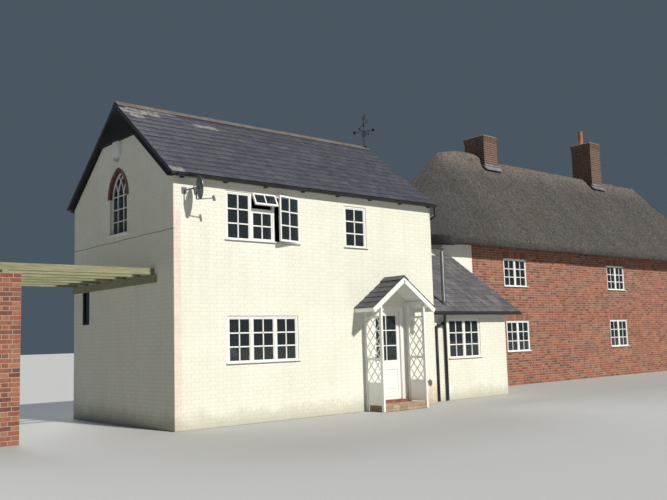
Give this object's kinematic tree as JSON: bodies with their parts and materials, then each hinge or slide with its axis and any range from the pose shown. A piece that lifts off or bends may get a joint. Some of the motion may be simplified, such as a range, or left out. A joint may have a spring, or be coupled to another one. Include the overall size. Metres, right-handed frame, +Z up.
{
  "type": "thatched cottage with a slate-roofed wing",
  "caption": "Painted brick wing under a slate gable roof, joined by a low slated link to a long brick range under a hipped thatched roof, with a gabled porch, a pergola and a weathervane.",
  "frame": {"origin": "ground level, at the middle of the underside of the slate wing's floor", "axes": "+X along the front towards the thatched range, +Y from the front into the house, +Z up"},
  "size_m": [33.075, 8.915, 9.82],
  "materials": {
    "painted_brick": "matt cream masonry paint over brick",
    "red_brick": "matt red brick with pale lime joints",
    "slate": "dark grey roof slates, slightly sheeny",
    "thatch": "weathered grey-brown straw, cut at the eaves",
    "white_joinery": "satin white paint on wood",
    "black_boards": "black painted boards",
    "black_rainwater": "semi-gloss black gutters and pipes",
    "window_glass": "clear panes",
    "floor_boards": "oak floor boards",
    "flagstone": "worn stone flags",
    "weathered_oak": "green-grey weathered timber",
    "grey_metal": "dull grey paint",
    "alarm_white": "plain white plastic",
    "ironwork": "dark painted iron"
  },
  "bodies": {
    "house": {"wing_front_wall_left": "painted_brick", "wing_front_wall_over_door": "painted_brick", "wing_front_wall_right": "painted_brick", "wing_back_wall": "painted_brick", "wing_gable_wall": "painted_brick", "wing_right_wall": "painted_brick", "wing_ground_floor": "flagstone", "wing_upper_floor": "floor_boards", "wing_roof_front": "slate", "wing_roof_rear": "slate", "wing_ridge_tiles": "slate", "wing_bargeboards": "black_boards", "wing_front_gutter": "black_rainwater", "wing_rear_gutter": "black_rainwater", "triple_window_frame": "white_joinery", "triple_window_glass": "window_glass", "triple_window_fanlight": "white_joinery", "triple_window_casement": "white_joinery", "gothic_window_arch": "red_brick", "gothic_window_frame": "white_joinery", "gothic_window_glass": "window_glass", "single_window": "white_joinery", "lower_window": "white_joinery", "wing_rear_upper_window": "white_joinery", "wing_rear_lower_window": "white_joinery", "slot_window": "white_joinery", "front_door_frame": "white_joinery", "porch_roof": "slate", "porch_left_side": "white_joinery", "porch_right_side": "white_joinery", "porch_step": "red_brick", "alarm_box": "alarm_white", "satellite_dish": "grey_metal", "weathervane_mast": "ironwork", "link_front_wall": "painted_brick", "link_rear_wall": "painted_brick", "link_roof_front": "slate", "link_roof_rear": "slate", "link_window": "white_joinery", "link_gutter": "black_rainwater", "link_flue": "grey_metal", "thatch_roof": "thatch", "left_chimney": "red_brick", "right_chimney": "red_brick", "range_front_wall": "red_brick", "range_back_wall": "red_brick", "range_left_wall": "painted_brick", "range_right_wall": "red_brick", "range_ground_floor": "flagstone", "range_upper_floor": "floor_boards", "range_front_upper_windows": "white_joinery", "range_front_lower_windows": "white_joinery", "range_rear_upper_windows": "white_joinery", "range_rear_lower_windows": "white_joinery", "pergola_beams": "weathered_oak", "pergola_front_pier": "red_brick", "pergola_rear_pier": "red_brick"},
    "front_door": {"front_door_leaf": "white_joinery"},
    "vane_pointer": {"weathervane_pointer": "ironwork"}
  },
  "joints": [
    {"name": "front_door_hinge", "type": "hinge", "parent": "house", "child": "front_door", "pos_m": [2.32, -2.034, 1.15], "axis": [0, 0, -1], "range_deg": [0, 95]},
    {"name": "vane_spin", "type": "hinge", "parent": "house", "child": "vane_pointer", "pos_m": [3.4, 0, 7.04], "axis": [0, 0, 1], "continuous": true}
  ]
}
